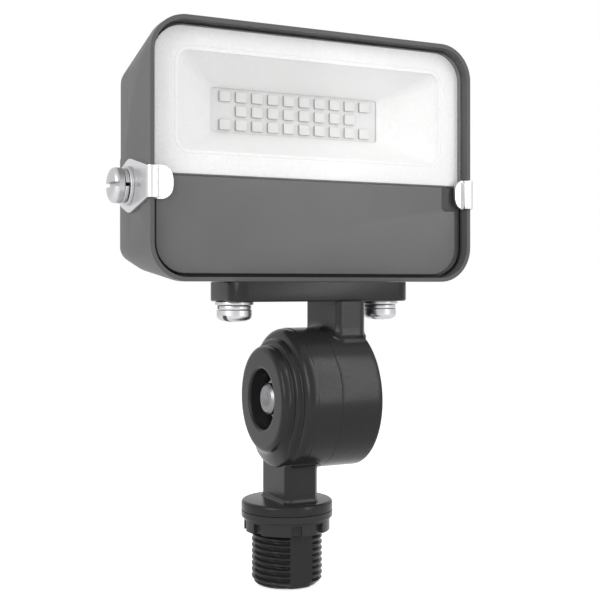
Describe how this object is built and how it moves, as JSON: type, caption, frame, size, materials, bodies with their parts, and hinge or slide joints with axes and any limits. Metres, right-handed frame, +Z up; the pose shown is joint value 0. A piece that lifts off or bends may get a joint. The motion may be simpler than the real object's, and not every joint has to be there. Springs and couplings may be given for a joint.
{
  "type": "flood light",
  "caption": "Small LED flood light: finned rectangular head with a recessed window, on a tilting round knuckle with a threaded conduit spigot and locknut.",
  "frame": {"origin": "on the spigot's axis, in the underside of the flange that seats on the junction box, where the spigot's wide bore ends", "axes": "+Z up along the spigot towards the head, -Y the way the window faces, +X to the right for someone who looks at the window"},
  "size_m": [0.121, 0.0434, 0.1655],
  "materials": {
    "housing_paint": "fine powder coat, dark grey",
    "knuckle_paint": "powder coat, charcoal",
    "locknut_metal": "satin black zinc",
    "cover_paint": "satin, dark grey",
    "lens_clear": "fine frosted",
    "reflector_white": "satin white",
    "board_white": "white solder mask",
    "chip_phosphor": "pale yellow phosphor in white cups",
    "stainless_sheet": "bright stainless sheet",
    "stainless_screw": "bright stainless",
    "seal_rubber": "matt black silicone",
    "board_green": "green solder mask",
    "ferrite_black": "ferrite and tape",
    "capacitor_sleeve": "dark sleeve",
    "choke_copper": "enamelled copper",
    "terminal_green": "green nylon",
    "lead_red": "silicone insulation"
  },
  "bodies": {
    "base": {"knuckle_lower": "knuckle_paint", "knuckle_bolt": "stainless_screw", "knuckle_washer": "stainless_screw", "knuckle_nut": "stainless_screw", "knuckle_seal": "seal_rubber"},
    "head": {"housing": "housing_paint", "lens_gasket": "seal_rubber", "lens": "lens_clear", "driver_cover": "cover_paint", "reflector": "reflector_white", "led_board": "board_white", "led_chips": "chip_phosphor", "led_board_screws": "stainless_screw", "led_leads": "lead_red", "driver_board": "board_green", "driver_transformer": "ferrite_black", "driver_capacitors": "capacitor_sleeve", "driver_choke": "choke_copper", "driver_terminals": "terminal_green", "driver_screws": "stainless_screw", "clip_left": "stainless_sheet", "clip_right": "stainless_sheet", "clip_screws": "stainless_screw", "clip_spring_washers": "stainless_screw", "clip_washers": "stainless_screw", "knuckle_upper": "knuckle_paint", "plate_gasket": "seal_rubber", "wire_grommet": "seal_rubber", "plate_screws": "stainless_screw", "plate_spring_washers": "stainless_screw", "plate_washers": "stainless_screw"},
    "locknut": {"locknut": "locknut_metal"}
  },
  "joints": [
    {"name": "head_tilt", "type": "hinge", "parent": "base", "child": "head", "pos_m": [0.0078, 0, 0.0333], "axis": [1, 0, 0], "range_deg": [-90, 90]},
    {"name": "locknut_travel", "type": "slide", "parent": "base", "child": "locknut", "axis": [0, 0, -1], "range_m": [0, 0.012]}
  ]
}
